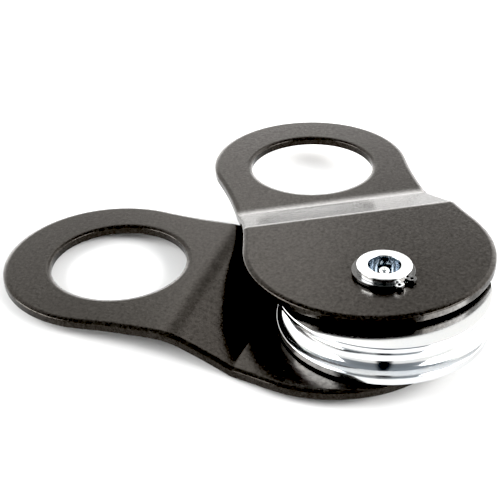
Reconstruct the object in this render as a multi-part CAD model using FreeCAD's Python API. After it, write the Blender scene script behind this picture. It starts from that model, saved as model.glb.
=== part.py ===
import FreeCAD, Part

import math
import os

# Single sheave block with swinging side plates (snatch block), in millimetres.
# Origin: centre of the pin's lower end face. +Z runs up along the pin.
# The lower side plate's eye points along -X. The upper side plate is swung open.

V = FreeCAD.Vector

# ---- driving dimensions -------------------------------------------------
PIN_D = 30.0                # axle pin
PIN_END = 2.3               # pin standing out below the lower retaining ring
UPPER_PIN_END = 3.4         # pin standing out above the upper retaining ring
PLATE_T = 6.0               # side plate thickness
INNER_GAP = 25.5            # between the side plates' inner faces at the sheave
PLATE_PLAY = 0.4            # the upper plate can lift this far before it meets its ring
OPEN_ANGLE = 60.0           # upper plate swung away from the closed position
RUNNING_CLEARANCE = 0.05    # radial, pin in every bore that turns on it
END_CLEARANCE = 0.1         # axial, between stacked pieces

SHEAVE_D = 117.0
SHEAVE_W = 23.0
GROOVE_R = 8.0              # rope groove, a half circle centred on the rim
BUSH_WALL = 3.0

EYE_OFFSET = 158.5          # pin axis to shackle eye centre
EYE_HOLE_R = 40.0
EYE_R = 63.8                # rounded end round the eye
EYE_R_CENTRE = 162.7
CHEEK_R = 70.9              # rounded end round the sheave
CHEEK_CENTRE = 29.5
WAIST_R = 293.0             # hollow flank that joins the two ends
JOG_START = 67.0            # bend nearest the sheave, on the outer face
JOG_END = 104.0             # bend nearest the eye, on the outer face
CHEEK_BEND_R = 5.0          # inside radius of the bend nearest the sheave
EYE_BEND_R = 12.0           # inside radius of the bend nearest the eye
CLOSED_EYE_GAP = 0.3        # left between the two eyes when the block is closed
PLATE_EDGE_R = 1.4          # rounding of the plate's cut edges

THRUST_WASHER_D = 50.0

RING_T = 2.0                # heavy retaining ring for a 30 mm shaft
RING_GROOVE_D = 28.6
RING_GROOVE_W = 2.15
RING_WIDE = 3.5             # radial width opposite the gap
RING_NARROW = 2.3           # radial width beside the lugs
LUG_R = 2.6
LUG_HOLE_R = 1.0
LUG_CENTRE_R = 16.5
LUG_HALF_ANGLE = 16.5
RING_GAP = 4.2
UPPER_RING_ANGLE = -32.0    # direction of the ring's gap about the pin
LOWER_RING_ANGLE = 40.0

RECESS_D = 18.0             # room for a grease coupler round the nipple
RECESS_DEPTH = 13.0
NIPPLE_THREAD_D = 6.0
NIPPLE_THREAD_L = 6.0
NIPPLE_HEX = 7.0            # across flats
NIPPLE_HEX_H = 3.5
NIPPLE_NECK_R = 2.2
NIPPLE_HEAD_R = 3.25
NIPPLE_TIP_R = 1.5
NIPPLE_H = 10.5             # above its seat
NIPPLE_BORE_R = 1.25
NIPPLE_MOUTH_R = 0.75
NIPPLE_MOUTH_H = 1.1
NIPPLE_SHOULDER_Z = 2.0     # spring seat inside the nipple, above the nipple's seat
CHECK_BALL_R = 1.0
SPRING_WIRE_R = 0.16
SPRING_COIL_R = 0.85
SPRING_TURNS = 6
GREASE_PASSAGE_R = 2.0

# ---- worked out ---------------------------------------------------------
PIN_R = PIN_D / 2
BORE_R = PIN_R + RUNNING_CLEARANCE
LOWER_PLATE_Z = PIN_END + RING_T + END_CLEARANCE
LOWER_INNER_Z = LOWER_PLATE_Z + PLATE_T
MID_Z = LOWER_INNER_Z + INNER_GAP / 2
UPPER_INNER_Z = LOWER_INNER_Z + INNER_GAP
UPPER_PLATE_Z = UPPER_INNER_Z + PLATE_T
UPPER_RING_Z = UPPER_PLATE_Z + END_CLEARANCE + PLATE_PLAY
PIN_L = UPPER_RING_Z + RING_T + UPPER_PIN_END
JOG_H = INNER_GAP / 2 - CLOSED_EYE_GAP / 2
THRUST_WASHER_T = (INNER_GAP - SHEAVE_W) / 2 - 2 * END_CLEARANCE
SHEAVE_R = SHEAVE_D / 2
SHEAVE_Z = MID_Z - SHEAVE_W / 2
BUSH_R = BORE_R + BUSH_WALL
RING_GROOVE_R = RING_GROOVE_D / 2
NIPPLE_SEAT_Z = PIN_L - RECESS_DEPTH


def turned(points, arcs=None):
    """Solid turned about Z from (radius, z) points; arcs maps a segment's index to a point on its arc."""
    arcs = arcs or {}
    corners = [V(r, 0, z) for r, z in points]
    edges = []
    for i, start in enumerate(corners):
        end = corners[(i + 1) % len(corners)]
        if i in arcs:
            middle = V(arcs[i][0], 0, arcs[i][1])
            edges.append(Part.Arc(start, middle, end).toShape())
        else:
            edges.append(Part.LineSegment(start, end).toShape())
    face = Part.Face(Part.Wire(edges))
    return face.revolve(V(0, 0, 0), V(0, 0, 1), 360)


def drum(radius, z_low, z_high, x=0.0, y=0.0):
    return Part.makeCylinder(radius, z_high - z_low, V(x, y, z_low))


def rounded_path(corners, radii):
    """Edges through corners in XZ, with an arc of the given radius at each inner corner (0 is sharp)."""
    edges = []
    start = corners[0]
    for before, corner, after, radius in zip(corners, corners[1:], corners[2:], radii):
        if radius == 0:
            edges.append(Part.LineSegment(start, corner).toShape())
            start = corner
            continue
        back = (before - corner).normalize()
        ahead = (after - corner).normalize()
        half = back.getAngle(ahead) / 2
        first = corner + back * (radius / math.tan(half))
        last = corner + ahead * (radius / math.tan(half))
        centre = corner + (back + ahead).normalize() * (radius / math.sin(half))
        middle = centre + (corner - centre).normalize() * radius
        edges.append(Part.LineSegment(start, first).toShape())
        edges.append(Part.Arc(first, middle, last).toShape())
        start = last
    edges.append(Part.LineSegment(start, corners[-1]).toShape())
    return edges


def plate_profile():
    """Side view of a plate, drawn in XZ: cheek face at z = 0, eye end raised by JOG_H."""
    low, high = -60.0, 240.0
    shift = PLATE_T * math.tan(math.atan2(JOG_H, JOG_END - JOG_START) / 2)
    corners = [
        V(low, 0, 0), V(JOG_START, 0, 0), V(JOG_END, 0, JOG_H), V(high, 0, JOG_H),
        V(high, 0, JOG_H + PLATE_T), V(JOG_END - shift, 0, JOG_H + PLATE_T),
        V(JOG_START - shift, 0, PLATE_T), V(low, 0, PLATE_T), V(low, 0, 0),
    ]
    radii = [CHEEK_BEND_R + PLATE_T, EYE_BEND_R, 0, 0, EYE_BEND_R + PLATE_T, CHEEK_BEND_R, 0]
    return Part.Face(Part.Wire(rounded_path(corners, radii)))


def plate_outline():
    """Top view of a plate: two rounded ends joined by hollow flanks that are tangent to both."""
    span = EYE_R_CENTRE - CHEEK_CENTRE
    to_cheek = WAIST_R + CHEEK_R
    to_eye = WAIST_R + EYE_R
    along = (span ** 2 + to_cheek ** 2 - to_eye ** 2) / (2 * span)
    side = math.sqrt(to_cheek ** 2 - along ** 2)
    edges = []
    ends = {}
    for sign in (1, -1):
        waist = V(CHEEK_CENTRE + along, sign * side, 0)
        cheek_mid = V(CHEEK_CENTRE, 0, 0)
        eye_mid = V(EYE_R_CENTRE, 0, 0)
        cheek_end = cheek_mid + (waist - cheek_mid).normalize() * CHEEK_R
        eye_end = eye_mid + (waist - eye_mid).normalize() * EYE_R
        middle = waist + ((cheek_end + eye_end) * 0.5 - waist).normalize() * WAIST_R
        edges.append(Part.Arc(cheek_end, middle, eye_end).toShape())
        ends[sign] = (cheek_end, eye_end)
    eye_tip = V(EYE_R_CENTRE + EYE_R, 0, 0)
    cheek_tip = V(CHEEK_CENTRE - CHEEK_R, 0, 0)
    edges.append(Part.Arc(ends[1][1], eye_tip, ends[-1][1]).toShape())
    edges.append(Part.Arc(ends[1][0], cheek_tip, ends[-1][0]).toShape())
    return Part.Face(Part.Wire(Part.__sortEdges__(edges)))


def side_plate():
    """A side plate lying on its outer face, with the pin hole at the origin and the eye along +X."""
    wide = 160.0
    bent = plate_profile().extrude(V(0, wide, 0))
    bent.translate(V(0, -wide / 2, 0))
    outline = plate_outline().extrude(V(0, 0, 2 * JOG_H + PLATE_T))
    outline.translate(V(0, 0, -JOG_H / 2))
    plate = bent.common(outline)
    plate = plate.cut(drum(EYE_HOLE_R, -JOG_H, 3 * JOG_H, EYE_OFFSET))
    rims = []
    for edge in plate.Edges:
        box = edge.BoundBox
        across_plate = box.ZLength > PLATE_T - 0.1 and box.XLength < 0.5 and box.YLength < 0.5
        across_bend = isinstance(edge.Curve, Part.Line) and box.YLength > EYE_R
        seam = isinstance(edge.Curve, Part.Line) and box.XLength < 0.5 and box.YLength < 0.5
        if not across_plate and not across_bend and not seam:
            rims.append(edge)
    plate = plate.makeFillet(PLATE_EDGE_R, rims)
    return plate.cut(drum(BORE_R, -JOG_H, PLATE_T + JOG_H))


def lower_side_plate():
    plate = side_plate()
    plate.rotate(V(0, 0, 0), V(0, 0, 1), 180)
    plate.translate(V(0, 0, LOWER_PLATE_Z))
    return plate


def upper_side_plate():
    plate = side_plate()
    plate.rotate(V(0, 0, 0), V(1, 0, 0), 180)
    plate.rotate(V(0, 0, 0), V(0, 0, 1), 180 - OPEN_ANGLE)
    plate.translate(V(0, 0, UPPER_PLATE_Z))
    return plate


def sheave():
    """Solid wheel with a half-round rope groove and lightly broken rim corners."""
    edge = 0.6
    low, high = SHEAVE_Z, SHEAVE_Z + SHEAVE_W
    points = [
        (BUSH_R, low), (SHEAVE_R - edge, low), (SHEAVE_R, low + edge),
        (SHEAVE_R, MID_Z - GROOVE_R), (SHEAVE_R, MID_Z + GROOVE_R),
        (SHEAVE_R, high - edge), (SHEAVE_R - edge, high), (BUSH_R, high),
    ]
    return turned(points, {3: (SHEAVE_R - GROOVE_R, MID_Z)})


def bushing():
    """Bronze bush pressed into the sheave, with a grease groove round the middle of its bore."""
    groove_r = BORE_R + 0.8
    groove_half = 2.5
    low, high = SHEAVE_Z, SHEAVE_Z + SHEAVE_W
    points = [
        (BORE_R, low), (BUSH_R, low), (BUSH_R, high), (BORE_R, high),
        (BORE_R, MID_Z + groove_half), (groove_r, MID_Z + groove_half),
        (groove_r, MID_Z - groove_half), (BORE_R, MID_Z - groove_half),
    ]
    return turned(points)


def thrust_washer(z_low):
    disc = drum(THRUST_WASHER_D / 2, z_low, z_low + THRUST_WASHER_T)
    return disc.cut(drum(BORE_R, z_low - 1, z_low + THRUST_WASHER_T + 1))


def pin():
    """Axle with a retaining ring groove at each end, a nipple recess in its top and grease passages."""
    edge = 0.8
    side_gap = (RING_GROOVE_W - RING_T) / 2
    low_groove = PIN_END - side_gap
    high_groove = UPPER_RING_Z - side_gap
    points = [
        (0, 0), (PIN_R - edge, 0), (PIN_R, edge),
        (PIN_R, low_groove), (RING_GROOVE_R, low_groove),
        (RING_GROOVE_R, low_groove + RING_GROOVE_W), (PIN_R, low_groove + RING_GROOVE_W),
        (PIN_R, high_groove), (RING_GROOVE_R, high_groove),
        (RING_GROOVE_R, high_groove + RING_GROOVE_W), (PIN_R, high_groove + RING_GROOVE_W),
        (PIN_R, PIN_L - edge), (PIN_R - edge, PIN_L), (0, PIN_L),
    ]
    body = turned(points)
    body = body.cut(drum(RECESS_D / 2, NIPPLE_SEAT_Z, PIN_L + 1))
    body = body.cut(drum(NIPPLE_THREAD_D / 2, NIPPLE_SEAT_Z - NIPPLE_THREAD_L, NIPPLE_SEAT_Z + 1))
    body = body.cut(drum(GREASE_PASSAGE_R, MID_Z, NIPPLE_SEAT_Z))
    cross = Part.makeCylinder(GREASE_PASSAGE_R, PIN_D + 2, V(0, -PIN_R - 1, MID_Z), V(0, 1, 0))
    return body.cut(cross)


def retaining_ring(low, gap_angle):
    """Open spring ring: widest opposite its gap, with a holed lug each side of the gap."""
    high = low + RING_T
    outer_r = RING_GROOVE_R + (RING_WIDE + RING_NARROW) / 2
    off_centre = (RING_WIDE - RING_NARROW) / 2
    ring = drum(outer_r, low, high, -off_centre)
    lug_places = []
    for sign in (1, -1):
        angle = math.radians(sign * LUG_HALF_ANGLE)
        lug_places.append((LUG_CENTRE_R * math.cos(angle), LUG_CENTRE_R * math.sin(angle)))
    for x, y in lug_places:
        ring = ring.fuse(drum(LUG_R, low, high, x, y))
    ring = ring.cut(drum(RING_GROOVE_R, low - 1, high + 1))
    for x, y in lug_places:
        ring = ring.cut(drum(LUG_HOLE_R, low - 1, high + 1, x, y))
    slot = Part.makeBox(PIN_D, RING_GAP, RING_T + 2, V(0, -RING_GAP / 2, low - 1))
    ring = ring.cut(slot).removeSplitter()
    ring.rotate(V(0, 0, 0), V(0, 0, 1), gap_angle)
    return ring


def grease_nipple_body():
    """Screwed-in nipple: thread, hexagon, neck and ball head, bored for its check ball and spring."""
    seat = NIPPLE_SEAT_Z
    thread_r = NIPPLE_THREAD_D / 2
    collar_r = NIPPLE_HEX / 2 - 0.3
    hex_top = seat + NIPPLE_HEX_H
    neck_low = hex_top + 1.6
    neck_high = hex_top + 2.6
    tip = seat + NIPPLE_H
    head_mid = (neck_high + tip) / 2 + 0.2
    stem = turned(
        [
            (0, seat - NIPPLE_THREAD_L), (thread_r - 0.6, seat - NIPPLE_THREAD_L),
            (thread_r, seat - NIPPLE_THREAD_L + 0.6), (thread_r, seat), (collar_r, seat),
            (collar_r, hex_top + 0.4), (NIPPLE_NECK_R, neck_low), (NIPPLE_NECK_R, neck_high),
            (NIPPLE_TIP_R, tip), (0, tip),
        ],
        {7: (NIPPLE_HEAD_R, head_mid)},
    )
    corner_r = NIPPLE_HEX / math.sqrt(3)
    corners = []
    for i in range(7):
        angle = math.radians(60 * i + 15)
        corners.append(V(corner_r * math.cos(angle), corner_r * math.sin(angle), seat))
    hexagon = Part.Face(Part.makePolygon(corners)).extrude(V(0, 0, NIPPLE_HEX_H))
    rounding = turned([
        (0, seat), (corner_r, seat), (corner_r, hex_top - 0.4), (corner_r - 0.5, hex_top), (0, hex_top),
    ])
    body = stem.fuse(hexagon.common(rounding)).removeSplitter()
    mouth_low = tip - NIPPLE_MOUTH_H
    body = body.cut(drum(NIPPLE_MOUTH_R, seat, tip + 1))
    body = body.cut(drum(NIPPLE_BORE_R, seat + NIPPLE_SHOULDER_Z, mouth_low))
    return body.cut(drum(NIPPLE_MOUTH_R, seat - NIPPLE_THREAD_L - 1, seat + 1))


def check_ball_z():
    """Centre of the check ball, just under the edge of the nipple's mouth."""
    mouth_low = NIPPLE_SEAT_Z + NIPPLE_H - NIPPLE_MOUTH_H
    seated = math.sqrt(CHECK_BALL_R ** 2 - NIPPLE_MOUTH_R ** 2)
    return mouth_low - seated - 0.04


def grease_nipple_ball():
    return Part.makeSphere(CHECK_BALL_R, V(0, 0, check_ball_z()))


def grease_nipple_spring():
    """Coil spring between the nipple's inner shoulder and the check ball."""
    low = NIPPLE_SEAT_Z + NIPPLE_SHOULDER_Z + SPRING_WIRE_R + 0.02
    ball_sag = math.sqrt((CHECK_BALL_R + SPRING_WIRE_R) ** 2 - SPRING_COIL_R ** 2)
    high = check_ball_z() - ball_sag - 0.04
    helix = Part.makeHelix((high - low) / SPRING_TURNS, high - low, SPRING_COIL_R)
    helix.translate(V(0, 0, low))
    start = V(SPRING_COIL_R, 0, low)
    wire_section = Part.Wire(Part.makeCircle(SPRING_WIRE_R, start, V(0, 1, 0)))
    return Part.Wire(helix.Edges).makePipeShell([wire_section], True, True)


NODES = {
    "lower_side_plate": lower_side_plate(),
    "upper_side_plate": upper_side_plate(),
    "sheave": sheave(),
    "bushing": bushing(),
    "pin": pin(),
    "lower_thrust_washer": thrust_washer(LOWER_INNER_Z + END_CLEARANCE),
    "upper_thrust_washer": thrust_washer(SHEAVE_Z + SHEAVE_W + END_CLEARANCE),
    "lower_retaining_ring": retaining_ring(PIN_END, LOWER_RING_ANGLE),
    "upper_retaining_ring": retaining_ring(UPPER_RING_Z, UPPER_RING_ANGLE),
    "grease_nipple_body": grease_nipple_body(),
    "grease_nipple_ball": grease_nipple_ball(),
    "grease_nipple_spring": grease_nipple_spring(),
}

os.makedirs("parts", exist_ok=True)
for name, shape in NODES.items():
    box = shape.BoundBox
    print(f"{name:22s} valid {shape.isValid()} solids {len(shape.Solids)} volume {shape.Volume:10.1f} "
          f"x {box.XMin:7.2f} {box.XMax:7.2f} y {box.YMin:7.2f} {box.YMax:7.2f} "
          f"z {box.ZMin:6.2f} {box.ZMax:6.2f}")
    shape.exportStep(f"parts/{name}.step")
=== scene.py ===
import math

import bmesh
import bpy
from mathutils import Matrix, Quaternion, Vector


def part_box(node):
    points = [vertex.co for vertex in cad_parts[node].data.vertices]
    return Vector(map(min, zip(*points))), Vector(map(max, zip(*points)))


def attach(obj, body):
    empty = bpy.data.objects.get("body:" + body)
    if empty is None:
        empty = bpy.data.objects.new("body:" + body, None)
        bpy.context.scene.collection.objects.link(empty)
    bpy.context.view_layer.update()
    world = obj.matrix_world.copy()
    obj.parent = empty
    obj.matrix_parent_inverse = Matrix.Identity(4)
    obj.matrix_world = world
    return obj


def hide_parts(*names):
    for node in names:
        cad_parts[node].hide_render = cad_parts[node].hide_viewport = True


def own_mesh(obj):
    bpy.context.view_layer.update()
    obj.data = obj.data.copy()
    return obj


# The looks of a snatch block that lies open: two black side plates that swing about a pin, a zinc plated
# sheave on a bronze bush, thrust washers, retaining rings and a grease nipple in the pin's end.
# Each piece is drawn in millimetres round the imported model's origin and scaled to metres.

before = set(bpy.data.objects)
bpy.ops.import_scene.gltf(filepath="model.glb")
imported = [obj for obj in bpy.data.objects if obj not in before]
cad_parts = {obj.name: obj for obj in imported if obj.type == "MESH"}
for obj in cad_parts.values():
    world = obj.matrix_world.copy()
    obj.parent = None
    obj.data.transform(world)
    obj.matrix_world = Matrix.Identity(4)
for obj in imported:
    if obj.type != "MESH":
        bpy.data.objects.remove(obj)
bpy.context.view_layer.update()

MM = 0.001

# ---- sizes in millimetres and angles in degrees, as in the CAD model ----------
PIN_R = 15.0
BORE_R = 15.05              # every bore that turns on the pin
BUSH_R = 18.05              # outside of the bush, pressed into the sheave
GROOVE_R = 8.0              # rope groove
GREASE_PASSAGE_R = 2.0

PLATE_T = 6.0
EYE_OFFSET = 158.5          # pin axis to shackle eye centre
EYE_HOLE_R = 40.0
EYE_R = 63.8                # rounded end round the eye
EYE_R_CENTRE = 162.7
CHEEK_R = 70.9              # rounded end round the sheave
CHEEK_CENTRE = 29.5
WAIST_R = 293.0             # hollow flank that joins the two ends
JOG_START = 67.0            # bend nearest the sheave, on the outer face
JOG_END = 104.0             # bend nearest the eye, on the outer face
CHEEK_BEND_R = 5.0
OPEN_ANGLE = 60.0           # upper plate swung away from the closed position

RING_T = 2.0
RING_GROOVE_R = 14.3
RING_GROOVE_W = 2.15
RING_WIDE = 3.5             # radial width opposite the gap
RING_NARROW = 2.3           # radial width beside the lugs
LUG_R = 2.6
LUG_HOLE_R = 1.0
LUG_CENTRE_R = 16.5
LUG_HALF_ANGLE = 16.5
RING_GAP = 4.2
UPPER_RING_ANGLE = -32.0    # direction of the ring's gap about the pin
LOWER_RING_ANGLE = 40.0

RECESS_R = 9.0              # room for a grease coupler round the nipple
NIPPLE_THREAD_R = 3.0
NIPPLE_THREAD_L = 6.0
NIPPLE_HEX = 7.0            # across flats
NIPPLE_HEX_H = 3.5
NIPPLE_NECK_R = 2.2
NIPPLE_HEAD_R = 3.25
NIPPLE_TIP_R = 1.5
NIPPLE_MOUTH_R = 0.75
NIPPLE_MOUTH_H = 1.1
SPRING_WIRE_R = 0.16
SPRING_COIL_R = 0.85
SPRING_TURNS = 6

# ---- sizes that only the visual pieces have -----------------------------------
EYE_BEND_R = 40.0           # softer than the CAD's bend, and within 0.5 mm of it
ROLL_WIDTH = 3.2            # the stamped edge sinks gently over this width
ROLL_SLOPE = 25.0           # where the edge's tight corner starts
CORNER_R = 0.9              # that corner's radius
BORE_EDGE_R = 0.2
BEND_ROWS = 14              # rows of vertices added across each bend
TURNED_EDGE_R = 0.3         # broken edges of the turned pieces
SPRING_DROP = 0.12          # the spring's top coil lies this much below the CAD's, clear of the ball


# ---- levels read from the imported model, in millimetres ------------------------


def levels(node):
    """Lowest and highest z of a CAD node."""
    low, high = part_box(node)
    return low.z / MM, high.z / MM


LOWER_Z, LOWER_EYE_TOP = levels("lower_side_plate")
UPPER_Z = levels("upper_side_plate")[1]
SHEAVE_LOW, SHEAVE_HIGH = levels("sheave")
SHEAVE_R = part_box("sheave")[1].x / MM
PIN_LOW, PIN_HIGH = levels("pin")
NIPPLE_LOW, NIPPLE_TIP = levels("grease_nipple_body")
NIPPLE_SEAT = NIPPLE_LOW + NIPPLE_THREAD_L
JOG_H = LOWER_EYE_TOP - LOWER_Z - PLATE_T
MID_Z = (PIN_LOW + PIN_HIGH) / 2


# ---- outlines -----------------------------------------------------------------


def polar(radius, angle):
    """(x, y) at that distance from the origin and that angle in radians."""
    return radius * math.cos(angle), radius * math.sin(angle)


def arc(cx, cy, radius, start, end, steps):
    """Points on an arc, angles in degrees, both ends included."""
    points = []
    for i in range(steps + 1):
        x, y = polar(radius, math.radians(start + (end - start) * i / steps))
        points.append((cx + x, cy + y))
    return points


def circle(cx, cy, radius, steps):
    """Closed outline of a circle, with no point twice."""
    return arc(cx, cy, radius, 0, 360, steps)[:-1]


def arc_through(first, middle, last, steps):
    """Points on the arc through three points, both ends included."""
    ax, ay = first
    bx, by = middle
    cx, cy = last
    d = 2 * (ax * (by - cy) + bx * (cy - ay) + cx * (ay - by))
    a2, b2, c2 = ax * ax + ay * ay, bx * bx + by * by, cx * cx + cy * cy
    ox = (a2 * (by - cy) + b2 * (cy - ay) + c2 * (ay - by)) / d
    oy = (a2 * (cx - bx) + b2 * (ax - cx) + c2 * (bx - ax)) / d
    start = math.degrees(math.atan2(ay - oy, ax - ox))
    end = math.degrees(math.atan2(cy - oy, cx - ox))
    return arc(ox, oy, math.hypot(ax - ox, ay - oy), start, end, steps)


def softened(corners, steps=4):
    """Closed outline from (x, y) or (x, y, radius) corners; those with a radius become arcs."""
    points = []
    count = len(corners)
    for i, corner in enumerate(corners):
        here = Vector(corner[:2])
        radius = corner[2] if len(corner) > 2 else 0
        if radius == 0:
            points.append(tuple(here))
            continue
        back = (Vector(corners[i - 1][:2]) - here).normalized()
        ahead = (Vector(corners[(i + 1) % count][:2]) - here).normalized()
        half = back.angle(ahead) / 2
        centre = here + (back + ahead).normalized() * radius / math.sin(half)
        first = here + back * radius / math.tan(half) - centre
        last = here + ahead * radius / math.tan(half) - centre
        turn = first.angle_signed(last)
        for k in range(steps + 1):
            swung = first.copy()
            swung.rotate(Matrix.Rotation(-turn * k / steps, 2))
            points.append(tuple(centre + swung))
    return points


def inset_loop(points, distance, side):
    """Counter-clockwise outline moved towards its solid: side 1 for an outer outline, -1 for a hole."""
    moved = []
    count = len(points)
    for i, point in enumerate(points):
        here = Vector(point)
        tangent_in = (here - Vector(points[i - 1])).normalized()
        tangent_out = (Vector(points[(i + 1) % count]) - here).normalized()
        normal_in = Vector((-tangent_in.y, tangent_in.x))
        normal_out = Vector((-tangent_out.y, tangent_out.x))
        bisector = normal_in + normal_out
        reach = distance / max(0.3, bisector.length_squared / 2)    # held back at a sharp corner
        moved.append(tuple(here + bisector * reach * side))
    return moved


def round_edge(radius, steps=4):
    """Half of a rim's section, from face to wall, as (inset from the wall, drop below the face)."""
    section = []
    for k in range(steps + 1):
        angle = math.pi / 2 * k / steps
        section.append((radius * (1 - math.sin(angle)), radius * (1 - math.cos(angle))))
    return section


def rolled_edge(steps=6):
    """Half section of a stamped rim: the face sinks gently, then turns a tight corner to the wall."""
    turn = math.radians(ROLL_SLOPE)
    corner = CORNER_R * (1 - math.sin(turn))
    curve = math.tan(turn) / (2 * (ROLL_WIDTH - corner))
    section = []
    for k in range(steps):
        inset = ROLL_WIDTH + (corner - ROLL_WIDTH) * k / steps
        section.append((inset, curve * (ROLL_WIDTH - inset) ** 2))
    sunk = curve * (ROLL_WIDTH - corner) ** 2
    for k in range(steps + 1):
        angle = turn + (math.pi / 2 - turn) * k / steps
        drop = sunk + CORNER_R * (math.cos(turn) - math.cos(angle))
        section.append((CORNER_R * (1 - math.sin(angle)), drop))
    return section


# ---- meshes -------------------------------------------------------------------


def finish_mesh(name, bm, material, body, slot, *nodes):
    """Makes a bmesh in millimetres a piece in metres that rides on a body and stands for CAD nodes."""
    bmesh.ops.remove_doubles(bm, verts=bm.verts, dist=0.002)
    bmesh.ops.recalc_face_normals(bm, faces=bm.faces)
    bmesh.ops.scale(bm, vec=(MM, MM, MM), verts=bm.verts)
    for face in bm.faces:
        face.smooth = True
    mesh = bpy.data.meshes.new(name)
    bm.to_mesh(mesh)
    bm.free()
    mesh.materials.append(material)
    piece = bpy.data.objects.new(name, mesh)
    bpy.context.scene.collection.objects.link(piece)
    even = piece.modifiers.new("even_normals", "WEIGHTED_NORMAL")
    even.mode = "FACE_AREA"
    even.weight = 80
    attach(piece, body)
    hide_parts(*nodes)
    return piece


def bridge(bm, rings):
    """Faces between each closed ring of vertices and the next; a ring may be a single point."""
    for a, b in zip(rings, rings[1:]):
        count = max(len(a), len(b))
        if count == 1:
            continue
        for i in range(count):
            j = (i + 1) % count
            if len(a) == 1:
                bm.faces.new((a[0], b[j], b[i]))
            elif len(b) == 1:
                bm.faces.new((a[i], a[j], b[0]))
            else:
                bm.faces.new((a[i], a[j], b[j], b[i]))


def lathe(outline, steps=192):
    """Closed (radius, z) outline turned about Z."""
    bm = bmesh.new()
    rings = []
    for radius, z in outline:
        if radius < 1e-6:
            rings.append([bm.verts.new((0, 0, z))])
            continue
        turns = [2 * math.pi * i / steps for i in range(steps)]
        rings.append([bm.verts.new((*polar(radius, angle), z)) for angle in turns])
    bridge(bm, rings + rings[:1])
    return bm


def slab(outer, holes, low, high):
    """Flat plate from (closed outline, half section) pairs; both rims of a loop get its section."""
    bm = bmesh.new()
    caps = {"low": [], "high": []}
    for (loop, section), side in [(outer, 1)] + [(hole, -1) for hole in holes]:
        rows = [(inset, low + drop) for inset, drop in section]
        rows += [(inset, high - drop) for inset, drop in reversed(section)]
        rings = []
        for inset, z in rows:
            rings.append([bm.verts.new((x, y, z)) for x, y in inset_loop(loop, inset, side)])
        bridge(bm, rings)
        caps["low"].append(rings[0])
        caps["high"].append(rings[-1])
    for rings in caps.values():
        edges = []
        for ring in rings:
            for i, vert in enumerate(ring):
                edges.append(bm.edges.get((vert, ring[(i + 1) % len(ring)])))
        bmesh.ops.triangle_fill(bm, use_beauty=True, use_dissolve=False, edges=edges)
    return bm


# ---- side plates --------------------------------------------------------------


def plate_outline():
    """Two rounded ends joined by hollow flanks tangent to both, counter-clockwise."""
    span = EYE_R_CENTRE - CHEEK_CENTRE
    to_cheek, to_eye = WAIST_R + CHEEK_R, WAIST_R + EYE_R
    along = (span ** 2 + to_cheek ** 2 - to_eye ** 2) / (2 * span)
    side = math.sqrt(to_cheek ** 2 - along ** 2)
    cheek_turn = math.degrees(math.atan2(side, along))
    eye_turn = math.degrees(math.atan2(side, along - span))
    waist_x = CHEEK_CENTRE + along
    points = arc(EYE_R_CENTRE, 0, EYE_R, -eye_turn, eye_turn, 150)
    points += arc(waist_x, side, WAIST_R, eye_turn - 180, cheek_turn - 180, 40)[1:]
    points += arc(CHEEK_CENTRE, 0, CHEEK_R, cheek_turn, 360 - cheek_turn, 150)[1:]
    points += arc(waist_x, -side, WAIST_R, 180 - cheek_turn, 180 - eye_turn, 40)[1:-1]
    return points


def bend_height(u, start, end, start_r, end_r):
    """Height of a plate face at distance u from the pin: flat, an arc, the slope, an arc, flat."""
    slope = math.atan2(JOG_H, end - start)
    start_reach, end_reach = start_r * math.tan(slope / 2), end_r * math.tan(slope / 2)
    foot, brow = start - start_reach, end + end_reach
    if foot < u < start + start_reach * math.cos(slope):
        return start_r - math.sqrt(start_r ** 2 - (u - foot) ** 2)
    if end - end_reach * math.cos(slope) < u < brow:
        return JOG_H - end_r + math.sqrt(end_r ** 2 - (brow - u) ** 2)
    return min(max(0.0, (u - start) * math.tan(slope)), JOG_H)


def joggle(bm):
    """Bends a flat plate's mesh twice, so that its eye lies JOG_H higher than its cheek."""
    slope = math.atan2(JOG_H, JOG_END - JOG_START)
    shift = PLATE_T * math.tan(slope / 2)
    for corner, radius in ((JOG_START, CHEEK_BEND_R), (JOG_END, EYE_BEND_R)):
        reach = (radius + PLATE_T) * math.tan(slope / 2)
        spread = (reach + 0.3) * 1.35           # a little past both ends of the bend
        for k in range(BEND_ROWS + 1):
            u = corner - shift / 2 + spread * (2 * k / BEND_ROWS - 1)
            everything = bm.verts[:] + bm.edges[:] + bm.faces[:]
            bmesh.ops.bisect_plane(bm, geom=everything, dist=1e-5, plane_co=(u, 0, 0), plane_no=(1, 0, 0))
    for vert in bm.verts:
        u, share = vert.co.x, vert.co.z / PLATE_T
        outer_face = bend_height(u, JOG_START, JOG_END, CHEEK_BEND_R + PLATE_T, EYE_BEND_R)
        inner_face = PLATE_T
        inner_face += bend_height(u, JOG_START - shift, JOG_END - shift, CHEEK_BEND_R, EYE_BEND_R + PLATE_T)
        vert.co.z = outer_face + (inner_face - outer_face) * share


def side_plate(level, material):
    """A joggled plate, made on its outer face with its eye along +X and then laid in its place."""
    eye = (circle(EYE_OFFSET, 0, EYE_HOLE_R, 160), rolled_edge())
    bore = (circle(0, 0, BORE_R, 96), round_edge(BORE_EDGE_R))
    bm = slab((plate_outline(), rolled_edge()), [eye, bore], 0, PLATE_T)
    joggle(bm)
    if level == "lower":
        place = Matrix.Translation((0, 0, LOWER_Z)) @ Matrix.Rotation(math.pi, 4, "Z")
    else:
        turn = Matrix.Rotation(math.radians(180 - OPEN_ANGLE), 4, "Z")
        place = Matrix.Translation((0, 0, UPPER_Z)) @ turn @ Matrix.Rotation(math.pi, 4, "X")
    bmesh.ops.transform(bm, matrix=place, verts=bm.verts)
    body, node = level + "_plate", level + "_side_plate"
    return finish_mesh(level + "_cheek_plate", bm, material, body, "black_coat", node)


# ---- turned pieces ------------------------------------------------------------


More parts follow.
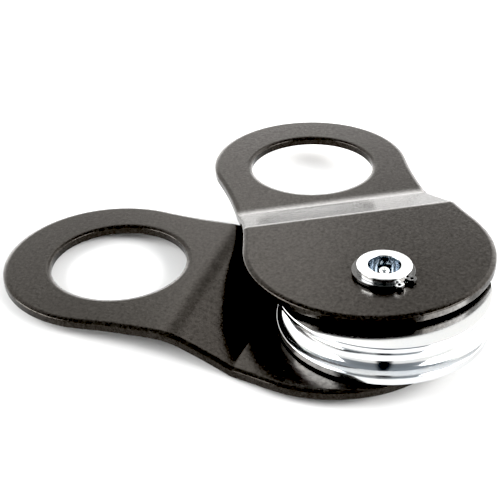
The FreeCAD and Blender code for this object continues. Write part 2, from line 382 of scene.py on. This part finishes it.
def sheave(material):
    """A wheel with a half-round rope groove in its rim."""
    edge, rim_edge = TURNED_EDGE_R, 0.6
    groove = arc(SHEAVE_R, MID_Z, GROOVE_R, 270, 90, 64)
    corners = [(BUSH_R, SHEAVE_LOW, edge), (SHEAVE_R, SHEAVE_LOW, rim_edge)]
    corners.append((SHEAVE_R, MID_Z - GROOVE_R, edge))
    corners += groove[1:-1]
    corners.append((SHEAVE_R, MID_Z + GROOVE_R, edge))
    corners += [(SHEAVE_R, SHEAVE_HIGH, rim_edge), (BUSH_R, SHEAVE_HIGH, edge)]
    bm = lathe(softened(corners), 288)
    return finish_mesh("sheave_wheel", bm, material, "sheave", "bright_zinc", "sheave")


def bushing(material):
    """A bush with a grease groove round the middle of its bore."""
    low, high, edge = SHEAVE_LOW, SHEAVE_HIGH, TURNED_EDGE_R
    groove_r, half = BORE_R + 0.8, 2.5
    corners = [
        (BORE_R, low, edge), (BUSH_R, low), (BUSH_R, high), (BORE_R, high, edge),
        (BORE_R, MID_Z + half), (groove_r, MID_Z + half), (groove_r, MID_Z - half), (BORE_R, MID_Z - half),
    ]
    return finish_mesh("bronze_bush", lathe(softened(corners)), material, "sheave", "bronze", "bushing")


def thrust_washer(level, material):
    """A flat washer on the pin, between the sheave and the side plate of that level."""
    node = level + "_thrust_washer"
    low, high = levels(node)
    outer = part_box(node)[1].x / MM
    edge = 0.25
    corners = [(BORE_R, low, edge), (outer, low, edge), (outer, high, edge), (BORE_R, high, edge)]
    bm = lathe(softened(corners))
    return finish_mesh(level + "_bronze_washer", bm, material, level + "_washer", "bronze", node)


def pin(material):
    """The axle, with two ring grooves, a recess in its top, and the nipple's hole and grease passage."""
    low_edge, groove_edge, floor_edge, drill_tip = 0.8, 0.12, 0.5, 1.2
    side_gap = (RING_GROOVE_W - RING_T) / 2
    corners = [(0, PIN_LOW), (PIN_R, PIN_LOW, low_edge)]
    for node in ("lower_retaining_ring", "upper_retaining_ring"):
        start = levels(node)[0] - side_gap
        end = start + RING_GROOVE_W
        corners += [(PIN_R, start, groove_edge), (RING_GROOVE_R, start, groove_edge)]
        corners += [(RING_GROOVE_R, end, groove_edge), (PIN_R, end, groove_edge)]
    corners += [(PIN_R, PIN_HIGH, TURNED_EDGE_R), (RECESS_R, PIN_HIGH, TURNED_EDGE_R)]
    corners += [(RECESS_R, NIPPLE_SEAT, floor_edge), (NIPPLE_THREAD_R, NIPPLE_SEAT, TURNED_EDGE_R)]
    corners += [(NIPPLE_THREAD_R, NIPPLE_LOW), (GREASE_PASSAGE_R, NIPPLE_LOW)]
    corners += [(GREASE_PASSAGE_R, MID_Z), (0, MID_Z - drill_tip)]
    return finish_mesh("axle_pin", lathe(softened(corners)), material, "pin", "bright_zinc", "pin")


# ---- retaining rings ----------------------------------------------------------


def ring_outline():
    """Outline of an open ring with its gap along +X, counter-clockwise, and one lug's centre."""
    outer_r = RING_GROOVE_R + (RING_WIDE + RING_NARROW) / 2
    off = (RING_WIDE - RING_NARROW) / 2
    lug_x, lug_y = polar(LUG_CENTRE_R, math.radians(LUG_HALF_ANGLE))
    # where the outer edge, a circle about (-off, 0), meets the lug's circle
    apart = math.hypot(lug_x + off, lug_y)
    lean = math.atan2(lug_y, lug_x + off)
    root = lean + math.acos((outer_r ** 2 + apart ** 2 - LUG_R ** 2) / (2 * outer_r * apart))
    root_x, root_y = polar(outer_r, root)
    outer = arc(-off, 0, outer_r, math.degrees(root), 360 - math.degrees(root), 120)
    # the lug runs from there to the gap's side
    half_gap = RING_GAP / 2
    lug_start = math.degrees(math.atan2(root_y - lug_y, root_x - off - lug_x))
    lug_end = math.degrees(math.acos((lug_y - half_gap) / LUG_R)) - 90
    lower_lug = arc(lug_x, -lug_y, LUG_R, -lug_start, -lug_end, 16)
    upper_lug = [(x, -y) for x, y in reversed(lower_lug)]
    inner_turn = math.degrees(math.asin(half_gap / RING_GROOVE_R))
    inner = arc(0, 0, RING_GROOVE_R, 360 - inner_turn, inner_turn, 110)
    return outer[:-1] + lower_lug + inner + upper_lug[:-1], (lug_x, lug_y)


def retaining_ring(level, gap_angle, material):
    """An external ring with two holed lugs, its gap turned to gap_angle about the pin."""
    node = level + "_retaining_ring"
    low, high = levels(node)
    outline, (lug_x, lug_y) = ring_outline()
    holes = []
    for y in (lug_y, -lug_y):
        holes.append((circle(lug_x, y, LUG_HOLE_R, 24), round_edge(0.05, 2)))
    bm = slab((outline, round_edge(0.18, 3)), holes, low, high)
    turn = Matrix.Rotation(math.radians(gap_angle), 3, "Z")
    bmesh.ops.rotate(bm, cent=(0, 0, 0), matrix=turn, verts=bm.verts)
    return finish_mesh(level + "_snap_ring", bm, material, "pin", "black_spring_steel", node)


# ---- grease nipple ------------------------------------------------------------


def nipple(material):
    """Thread, hexagon, neck, ball head and mouth as one skin, closed at both ends."""
    seat, tip = NIPPLE_SEAT, NIPPLE_TIP
    hex_top = seat + NIPPLE_HEX_H
    neck_low, neck_high = hex_top + 1.6, hex_top + 2.6
    head_middle = (neck_high + tip) / 2 + 0.2
    chamfer, mouth_edge = 0.6, 0.1
    flat_r, corner_r = NIPPLE_HEX / 2, NIPPLE_HEX / math.sqrt(3)
    collar_r = flat_r - 0.3
    thread = [(NIPPLE_MOUTH_R, NIPPLE_LOW), (NIPPLE_THREAD_R - chamfer, NIPPLE_LOW)]
    thread += [(NIPPLE_THREAD_R, NIPPLE_LOW + chamfer), (NIPPLE_THREAD_R, seat)]
    hexagon = [(corner_r, seat), (corner_r, hex_top - 0.4), (corner_r - 0.5, hex_top)]
    neck = [(collar_r, hex_top + 0.05), (collar_r, hex_top + 0.4), (NIPPLE_NECK_R, neck_low)]
    head = arc_through((NIPPLE_NECK_R, neck_high), (NIPPLE_HEAD_R, head_middle), (NIPPLE_TIP_R, tip), 20)
    mouth = [(NIPPLE_MOUTH_R + mouth_edge, tip), (NIPPLE_MOUTH_R, tip - mouth_edge)]
    mouth.append((NIPPLE_MOUTH_R, tip - NIPPLE_MOUTH_H))
    bm = bmesh.new()
    steps = 96
    skin = []
    for outline, six_sided in ((thread, False), (hexagon, True), (neck + head + mouth, False)):
        for radius, z in outline:
            ring = []
            for i in range(steps):
                angle = 2 * math.pi * i / steps
                from_flat = (math.degrees(angle) - 15) % 60 - 30
                side_r = flat_r / math.cos(math.radians(from_flat))
                reach = min(radius, side_r) if six_sided else radius
                ring.append(bm.verts.new((*polar(reach, angle), z)))
            skin.append(ring)
    bridge(bm, skin)
    bm.faces.new(skin[0][::-1])
    bm.faces.new(skin[-1])
    return finish_mesh("grease_nipple", bm, material, "pin", "nipple_steel", "grease_nipple_body")


def check_ball(material):
    """The ball that closes the nipple's mouth from inside."""
    low, high = levels("grease_nipple_ball")
    radius, middle = (high - low) / 2, (high + low) / 2
    bm = lathe(arc(0, middle, radius, -90, 90, 20), 32)
    return finish_mesh("check_ball_steel", bm, material, "check_ball", "ball_steel", "grease_nipple_ball")


def nipple_spring(material):
    """A coil under the check ball, which flattens by the ball's travel."""
    low, high = levels("grease_nipple_spring")
    low, high = low + SPRING_WIRE_R, high - SPRING_WIRE_R - SPRING_DROP
    bm = bmesh.new()
    around, per_turn = 8, 24
    rings = []
    for i in range(SPRING_TURNS * per_turn + 1):
        angle = 2 * math.pi * i / per_turn
        rise = low + (high - low) * i / (SPRING_TURNS * per_turn)
        ring = []
        for k in range(around):
            out, up = polar(SPRING_WIRE_R, 2 * math.pi * k / around)
            ring.append(bm.verts.new((*polar(SPRING_COIL_R + out, angle), rise + up)))
        rings.append(ring)
    bridge(bm, rings)
    bm.faces.new(rings[0])
    bm.faces.new(rings[-1][::-1])
    piece = finish_mesh("check_ball_spring", bm, material, "pin", "ball_steel", "grease_nipple_spring")
    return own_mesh(piece)


# ---- node trees ---------------------------------------------------------------


class Nodes:
    """Short calls for building a node tree."""

    def __init__(self, tree):
        self.tree = tree

    def add(self, kind, **settings):
        """A new node with those settings."""
        node = self.tree.nodes.new(kind)
        for key, value in settings.items():
            setattr(node, key, value)
        return node

    def link(self, source, target):
        """Joins an output to an input."""
        self.tree.links.new(source, target)

    def remap(self, value, low, high, to_low=0.0, to_high=1.0, curve="LINEAR"):
        """The value, stretched so that low and high become to_low and to_high, and held there beyond."""
        node = self.add("ShaderNodeMapRange", interpolation_type=curve)
        names = ("From Min", "From Max", "To Min", "To Max")
        for key, number in zip(names, (low, high, to_low, to_high)):
            node.inputs[key].default_value = number
        self.link(value, node.inputs["Value"])
        return node.outputs["Result"]

    def mix(self, fac, a, b):
        """Colour a where fac is 0 and b where it is 1; each is a tuple or an output."""
        node = self.add("ShaderNodeMix", data_type="RGBA")
        self.link(fac, node.inputs["Factor"])
        for socket, colour in ((node.inputs["A"], a), (node.inputs["B"], b)):
            if isinstance(colour, tuple):
                socket.default_value = (*colour, 1.0)
            else:
                self.link(colour, socket)
        return node.outputs["Result"]

    def dot(self, vector, constant):
        """Dot product with a constant vector."""
        node = self.add("ShaderNodeVectorMath", operation="DOT_PRODUCT")
        node.inputs[1].default_value = constant
        self.link(vector, node.inputs[0])
        return node.outputs["Value"]

    def split(self, vector, axis):
        """One coordinate of a vector."""
        node = self.add("ShaderNodeSeparateXYZ")
        self.link(vector, node.inputs["Vector"])
        return node.outputs[axis]

    def flat(self, vector):
        """The vector with its height taken away."""
        node = self.add("ShaderNodeVectorMath", operation="MULTIPLY")
        node.inputs[1].default_value = (1, 1, 0)
        self.link(vector, node.inputs[0])
        return node.outputs["Vector"]


# ---- materials ----------------------------------------------------------------


class Finish(Nodes):
    """A material, with short calls for its texture nodes and its shader's sockets."""

    def __init__(self, name):
        self.material = bpy.data.materials.new(name)
        self.material.use_nodes = True
        super().__init__(self.material.node_tree)
        self.sockets = self.tree.nodes["Principled BSDF"].inputs
        self.coords = self.add("ShaderNodeTexCoord").outputs["Object"]

    def even(self, **values):
        """Sets shader sockets that are the same all over; underscores stand for spaces."""
        for key, value in values.items():
            self.sockets[key.replace("_", " ")].default_value = value

    def varied(self, socket, output):
        """Drives one of the shader's sockets by an output that varies over the surface."""
        self.link(output, self.sockets[socket])

    def noise(self, scale, detail=3.0, rough=0.5, vector=None):
        """Noise from 0 to 1; scale is in grains per metre."""
        node = self.add("ShaderNodeTexNoise")
        node.inputs["Scale"].default_value = scale
        node.inputs["Detail"].default_value = detail
        node.inputs["Roughness"].default_value = rough
        self.link(vector or self.coords, node.inputs["Vector"])
        return node.outputs["Fac"]

    def bump(self, height, strength, distance):
        """A normal tilted by the slope of a height."""
        node = self.add("ShaderNodeBump")
        node.inputs["Strength"].default_value = strength
        node.inputs["Distance"].default_value = distance
        self.link(height, node.inputs["Height"])
        return node.outputs["Normal"]

    def turned_coords(self):
        """A vector of (radius, height, 0): what varies along it goes round a turned piece in rings."""
        length = self.add("ShaderNodeVectorMath", operation="LENGTH")
        self.link(self.flat(self.coords), length.inputs[0])
        rings = self.add("ShaderNodeCombineXYZ")
        self.link(length.outputs["Value"], rings.inputs["X"])
        self.link(self.split(self.coords, "Z"), rings.inputs["Y"])
        return rings.outputs["Vector"]


def black_coat():
    """Semi-gloss black coating with a fine warm grain and broad darker patches."""
    m = Finish("black_coat")
    grain = m.remap(m.noise(650, 4, 0.7), 0.36, 0.64)
    grained = m.mix(grain, (0.002, 0.0019, 0.0018), (0.022, 0.0205, 0.019))
    patches = m.noise(45, 4, 0.6)
    m.varied("Base Color", m.mix(patches, (0.008, 0.0075, 0.007), grained))
    m.varied("Roughness", m.remap(grain, 0.0, 1.0, 0.12, 0.22))
    m.varied("Specular IOR Level", m.remap(m.noise(520, 5, 0.75), 0.35, 0.65, 0.30, 0.70))
    m.varied("Normal", m.bump(m.noise(420, 3, 0.6), 0.14, 0.0004))
    m.even(IOR=1.34, Specular_Tint=(1.0, 0.90, 0.80, 1.0))
    return m.material


def bright_zinc(name, cool, warm, inside=None):
    """Zinc plate; inside is a darker colour painted into the recess at the pin's centre as painted shade.
    """
    m = Finish(name)
    rings = m.turned_coords()
    colour = m.mix(m.noise(60), cool, warm)
    # painted shade: the recess at the pin's centre is coloured darker than the rest of the zinc
    if inside:
        radius = m.split(rings, "X")
        outside = m.remap(radius, (RECESS_R + 0.1) * MM, (RECESS_R + 0.4) * MM)
        colour = m.mix(outside, inside, colour)
    lines = m.noise(2500, 3, 0.6, rings)
    m.varied("Base Color", colour)
    m.varied("Roughness", m.remap(lines, 0.3, 0.7, 0.10, 0.16))
    m.varied("Normal", m.bump(lines, 0.05, 0.0001))
    m.even(Metallic=1.0)
    return m.material


def bronze():
    """Sintered bearing bronze."""
    m = Finish("bronze")
    m.varied("Base Color", m.mix(m.noise(400, 5, 0.7), (0.45, 0.27, 0.11), (0.62, 0.42, 0.20)))
    m.varied("Roughness", m.remap(m.noise(900), 0.3, 0.7, 0.32, 0.45))
    m.even(Metallic=1.0)
    return m.material


def black_spring_steel():
    """Phosphated and oiled spring steel."""
    m = Finish("black_spring_steel")
    m.varied("Base Color", m.mix(m.noise(700, 4, 0.6), (0.005, 0.005, 0.005), (0.014, 0.014, 0.013)))
    m.varied("Roughness", m.remap(m.noise(1500), 0.3, 0.7, 0.16, 0.26))
    m.varied("Normal", m.bump(m.noise(2500), 0.08, 0.0001))
    m.even(IOR=1.7)
    return m.material


def nipple_steel():
    """Zinc plated steel with fine turning marks."""
    m = Finish("nipple_steel")
    m.varied("Base Color", m.mix(m.noise(500), (0.86, 0.86, 0.84), (0.92, 0.91, 0.88)))
    turning = m.noise(4000, 2, 0.5, m.turned_coords())
    m.varied("Roughness", m.remap(turning, 0.3, 0.7, 0.14, 0.24))
    m.even(Metallic=1.0)
    return m.material


def ball_steel():
    """Polished steel of the check ball and its spring."""
    m = Finish("ball_steel")
    m.varied("Base Color", m.mix(m.noise(900), (0.42, 0.42, 0.43), (0.55, 0.55, 0.55)))
    m.varied("Roughness", m.remap(m.noise(2500, 2), 0.3, 0.7, 0.18, 0.30))
    m.even(Metallic=1.0)
    return m.material


def floor_paper():
    """White paper with painted shade: greyer in front of the block, out to about half a metre."""
    m = Finish("floor_paper")
    white = (0.92, 0.915, 0.91)
    # painted shade: the paper in front of the block is grey, standing in for the dimmer light and shadow
    # there
    painted_shade_grey = m.mix(m.noise(3, 2), (0.60, 0.598, 0.594), (0.62, 0.617, 0.613))
    depth = m.dot(m.coords, -direction(CAMERA_AZIMUTH, 0))
    # painted shade mask: grey on the camera side of the block, white further back
    painted_shade_front = m.mix(m.remap(depth, 0.095, 0.14), painted_shade_grey, white)
    far = m.remap(m.split(m.turned_coords(), "X"), 0.35, 0.60)
    m.varied("Base Color", m.mix(far, painted_shade_front, white))
    m.even(Roughness=0.9, Specular_IOR_Level=0.2)
    return m.material


# ---- studio, in metres and degrees --------------------------------------------

CAMERA_AIM = (-0.0905, 0.0399, 0.0181)
CAMERA_AZIMUTH = 19.50      # towards +X from the -Y side
CAMERA_ELEVATION = 31.51
CAMERA_DISTANCE = 0.674
CAMERA_ROLL = -1.95
CAMERA_LENS = 80.5

SOFT_BOX_DISTANCE = 1.6
SOFT_BOX_HEIGHT = 0.8

HORIZON = (5.4, 5.35, 5.3)  # the lowest part of the backdrop, behind the object
BACKDROP = (2.7, 2.65, 2.57)
LEFT_SIDE = (1.56, 1.54, 1.49)
RIGHT_SIDE = (1.34, 1.32, 1.28)
FAR_RIGHT = (2.7, 2.66, 2.6)
CEILING = (0.3, 0.33, 0.36)
FRONT = (0.25, 0.27, 0.29)
FRONT_LOW = (1.2, 1.18, 1.15)
OPENING = (0.01, 0.01, 0.012)
BLACK_LEVEL = 0.03          # darkest value that is shown as more than black

FLOOR_HALF_SIZE = 6.0


def direction(azimuth, elevation):
    """Unit vector from the object towards a place at that azimuth (0 is the -Y side, 90 the +X side)."""
    a, e = math.radians(azimuth), math.radians(elevation)
    return Vector((math.sin(a) * math.cos(e), -math.cos(a) * math.cos(e), math.sin(e)))


def make_camera():
    """A camera that looks at CAMERA_AIM, turned a little about its own axis."""
    data = bpy.data.cameras.new("camera")
    data.lens = CAMERA_LENS
    data.sensor_width = 36.0
    data.clip_start = 0.01
    camera = bpy.data.objects.new("camera", data)
    out = direction(CAMERA_AZIMUTH, CAMERA_ELEVATION)
    camera.location = Vector(CAMERA_AIM) + out * CAMERA_DISTANCE
    camera.rotation_mode = "QUATERNION"
    level = (-out).to_track_quat("-Z", "Y")
    camera.rotation_quaternion = level @ Quaternion((0, 0, 1), math.radians(CAMERA_ROLL))
    bpy.context.scene.collection.objects.link(camera)
    bpy.context.scene.camera = camera


def soft_box(name, azimuth, elevation, width, power):
    """A wide area light that faces the block; its azimuth is counted from the camera's."""
    light = bpy.data.lights.new(name, "AREA")
    light.shape = "RECTANGLE"
    light.size, light.size_y = width, SOFT_BOX_HEIGHT
    light.energy = power
    lamp = bpy.data.objects.new(name, light)
    out = direction(CAMERA_AZIMUTH + azimuth, elevation)
    lamp.location = out * SOFT_BOX_DISTANCE
    lamp.rotation_mode = "QUATERNION"
    lamp.rotation_quaternion = (-out).to_track_quat("-Z", "Y")
    bpy.context.scene.collection.objects.link(lamp)


class Sky(Nodes):
    """A world whose brightness depends on direction alone."""

    def __init__(self):
        world = bpy.data.worlds.new("studio")
        bpy.context.scene.world = world
        world.use_nodes = True
        super().__init__(world.node_tree)
        outward = self.add("ShaderNodeTexCoord").outputs["Generated"]
        self.height = self.split(outward, "Z")
        level = self.add("ShaderNodeVectorMath", operation="NORMALIZE")
        self.link(self.flat(outward), level.inputs[0])
        self.level = level.outputs["Vector"]

    def by_height(self, low, high):
        """0 below the low elevation and 1 above the high one, smooth between."""
        low, high = math.sin(math.radians(low)), math.sin(math.radians(high))
        return self.remap(self.height, low, high, curve="SMOOTHSTEP")

    def by_turn(self, azimuth, wide, narrow):
        """1 within the narrow turn from an azimuth, 0 beyond the wide one, smooth between."""
        towards = self.dot(self.level, direction(azimuth, 0))
        wide, narrow = math.cos(math.radians(wide)), math.cos(math.radians(narrow))
        return self.remap(towards, wide, narrow, curve="SMOOTHSTEP")

    def both(self, a, b):
        """The product of two factors."""
        node = self.add("ShaderNodeMath", operation="MULTIPLY")
        self.link(a, node.inputs[0])
        self.link(b, node.inputs[1])
        return node.outputs["Value"]

    def show(self, colour):
        """Makes that the colour of the world."""
        self.link(colour, self.tree.nodes["Background"].inputs["Color"])


def world_light():
    """A backdrop behind the block, brightest low down, and a dim room in front with a dark opening."""
    sky = Sky()
    behind, rightwards = CAMERA_AZIMUTH + 180, CAMERA_AZIMUTH + 90
    sides = sky.mix(sky.by_turn(rightwards, 90, 82), LEFT_SIDE, RIGHT_SIDE)
    sides = sky.mix(sky.by_turn(rightwards, 73, 66), sides, FAR_RIGHT)
    middle = sky.both(sky.by_turn(behind, 8, 1), sky.by_height(27, 31))
    backdrop = sky.mix(middle, sides, BACKDROP)
    backdrop = sky.mix(sky.by_height(8, 30), HORIZON, backdrop)
    front = sky.mix(sky.by_height(15, 23), FRONT_LOW, FRONT)
    around = sky.mix(sky.by_turn(behind, 105, 85), front, backdrop)
    room = sky.mix(sky.by_height(42, 58), around, CEILING)
    opening = sky.by_turn(CAMERA_AZIMUTH - 4, 10, 7)
    sky.show(sky.mix(opening, room, OPENING))


def make_floor():
    """A floor under the leaning block, which lies on the pin's lower end and the lower eye's far edge."""
    eye_tip = -(EYE_R_CENTRE + EYE_R)
    lean = math.atan2(LOWER_Z + JOG_H, -PIN_R - eye_tip)
    bm = bmesh.new()
    bmesh.ops.create_grid(bm, x_segments=8, y_segments=8, size=FLOOR_HALF_SIZE)
    place = Matrix.Translation((-PIN_R * MM, 0, 0)) @ Matrix.Rotation(lean, 4, "Y")
    bmesh.ops.transform(bm, matrix=place, verts=bm.verts)
    mesh = bpy.data.meshes.new("floor")
    bm.to_mesh(mesh)
    bm.free()
    mesh.materials.append(floor_paper())
    floor = bpy.data.objects.new("floor", mesh)
    bpy.context.scene.collection.objects.link(floor)


def deepen_blacks():
    """Shows colours as they are, apart from the deepest, which turn black."""
    view = bpy.context.scene.view_settings
    view.view_transform = "Standard"
    view.use_curve_mapping = True
    view.curve_mapping.black_level = (BLACK_LEVEL, BLACK_LEVEL, BLACK_LEVEL)


# ---- build --------------------------------------------------------------------

make_camera()
world_light()
soft_box("left_box", azimuth=-84, elevation=30, width=1.35, power=47)
soft_box("right_box", azimuth=68, elevation=32, width=1.13, power=45)
make_floor()
deepen_blacks()

coat, bearing, dark_steel, polished = black_coat(), bronze(), black_spring_steel(), ball_steel()
sheave_zinc = bright_zinc("bright_zinc", (0.64, 0.68, 0.72), (0.74, 0.73, 0.71))
# lit copy of the sheave's zinc: a lighter base colour paints in the light on the pin (painted highlight),
# and its recess gets painted shade
lit_pin_zinc = bright_zinc("pin_zinc_lit_copy", (0.82, 0.84, 0.86), (0.88, 0.88, 0.87), inside=(0.46, 0.49, 0.52))
side_plate("lower", coat)
side_plate("upper", coat)
sheave(sheave_zinc)
bushing(bearing)
thrust_washer("lower", bearing)
thrust_washer("upper", bearing)
pin(lit_pin_zinc)
retaining_ring("lower", LOWER_RING_ANGLE, dark_steel)
retaining_ring("upper", UPPER_RING_ANGLE, dark_steel)
nipple(nipple_steel())
check_ball(polished)
nipple_spring(polished)
